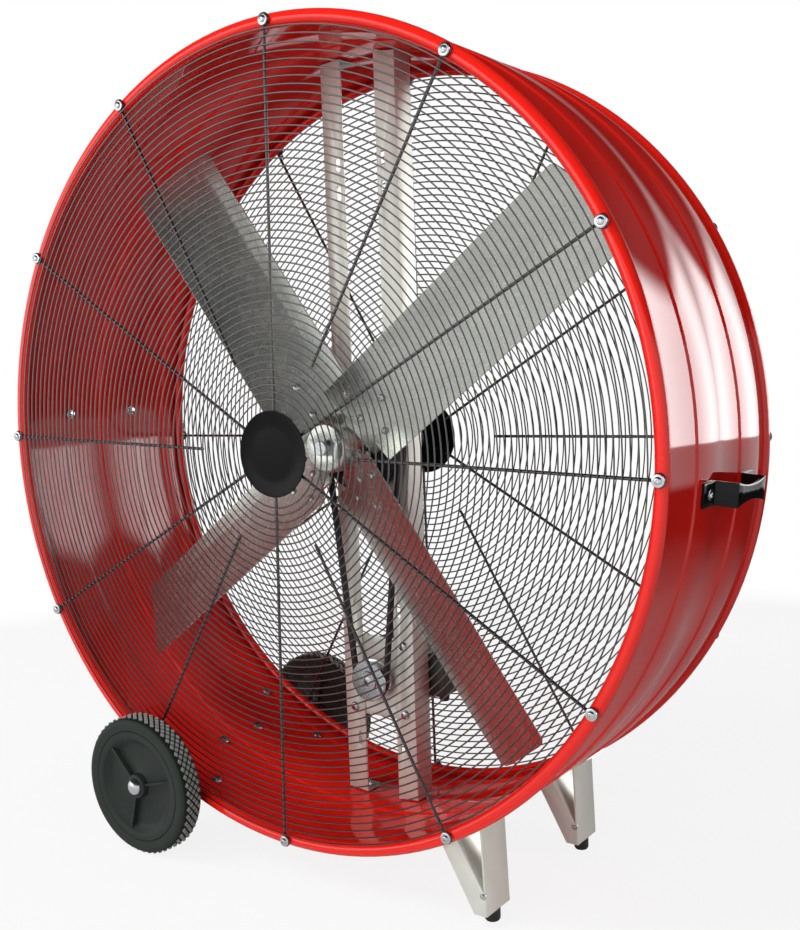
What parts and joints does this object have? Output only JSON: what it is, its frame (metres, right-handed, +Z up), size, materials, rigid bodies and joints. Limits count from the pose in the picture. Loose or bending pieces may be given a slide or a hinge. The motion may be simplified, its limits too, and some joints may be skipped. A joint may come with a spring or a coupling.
{
  "type": "drum fan",
  "caption": "Belt-driven drum fan with guarded blades in a round sheet-steel drum, carried on two wheels and two legs.",
  "frame": {"origin": "on the floor, under the middle of the drum", "axes": "+X right seen from the front, -Y to the front, where the air leaves, +Z up; the fan's axis is along Y"},
  "size_m": [1.3866, 0.5516, 1.3789],
  "materials": {
    "red_enamel": "glossy red powder-coated steel sheet",
    "black_wire": "black powder-coated steel wire",
    "galvanised": "galvanised steel sheet",
    "bright_steel": "bright zinc-plated or ground steel",
    "cast_iron": "machined cast iron",
    "motor_paint": "dark olive-grey paint on steel",
    "copper_windings": "varnished windings on laminated steel",
    "belt_rubber": "matt black rubber",
    "wheel_plastic": "dark grey-green moulded plastic",
    "tyre_rubber": "dark grey rubber with a diamond tread",
    "black_paint": "glossy black paint",
    "black_rubber": "black rubber bumper",
    "badge_plastic": "plain glossy black disc"
  },
  "bodies": {
    "drum": {"drum_shell": "red_enamel", "front_grille": "black_wire", "rear_grille": "black_wire", "front_badge": "badge_plastic", "rear_badge": "badge_plastic", "left_upright": "galvanised", "right_upright": "galvanised", "bearing_plate": "galvanised", "bearing_housing": "cast_iron", "front_bearing": "bright_steel", "rear_bearing": "bright_steel", "drive_belt": "belt_rubber", "motor_plate": "galvanised", "motor_front_bell": "motor_paint", "motor_shell": "motor_paint", "motor_rear_bell": "motor_paint", "motor_stator": "copper_windings", "switch_box": "motor_paint", "motor_lead": "belt_rubber", "right_handle": "black_paint", "left_handle": "black_paint", "front_axle_bracket": "galvanised", "rear_axle_bracket": "galvanised", "wheel_axle": "bright_steel", "front_axle_cap": "bright_steel", "rear_axle_cap": "bright_steel", "front_leg": "galvanised", "rear_leg": "galvanised", "front_foot": "black_rubber", "rear_foot": "black_rubber"},
    "fan": {"fan_shaft": "bright_steel", "driven_sheave": "cast_iron", "blade_spider": "galvanised", "blade_1": "galvanised", "blade_2": "galvanised", "blade_3": "galvanised", "blade_4": "galvanised"},
    "motor_rotor": {"motor_rotor": "bright_steel", "motor_pulley": "bright_steel"},
    "front_wheel": {"front_wheel": "wheel_plastic", "front_tyre": "tyre_rubber"},
    "rear_wheel": {"rear_wheel": "wheel_plastic", "rear_tyre": "tyre_rubber"},
    "switch_knob": {"switch_knob": "black_paint"}
  },
  "joints": [
    {"name": "fan_spin", "type": "hinge", "parent": "drum", "child": "fan", "pos_m": [0, -0.057, 0.71809], "axis": [0, 1, 0], "continuous": true},
    {"name": "motor_spin", "type": "hinge", "parent": "drum", "child": "motor_rotor", "pos_m": [0, 0.016, 0.29209], "axis": [0, 1, 0], "continuous": true},
    {"name": "front_wheel_roll", "type": "hinge", "parent": "drum", "child": "front_wheel", "pos_m": [-0.31935, -0.2435, 0.125], "axis": [0, 1, 0], "continuous": true},
    {"name": "rear_wheel_roll", "type": "hinge", "parent": "drum", "child": "rear_wheel", "pos_m": [-0.31935, 0.2435, 0.125], "axis": [0, 1, 0], "continuous": true},
    {"name": "switch_turn", "type": "hinge", "parent": "drum", "child": "switch_knob", "pos_m": [0.0883, 0.2, 0.29609], "axis": [0, 1, 0], "range_deg": [0, 90]}
  ],
  "couplings": [
    {"joint": "motor_spin", "follows": "fan_spin", "ratio": 2.5}
  ]
}
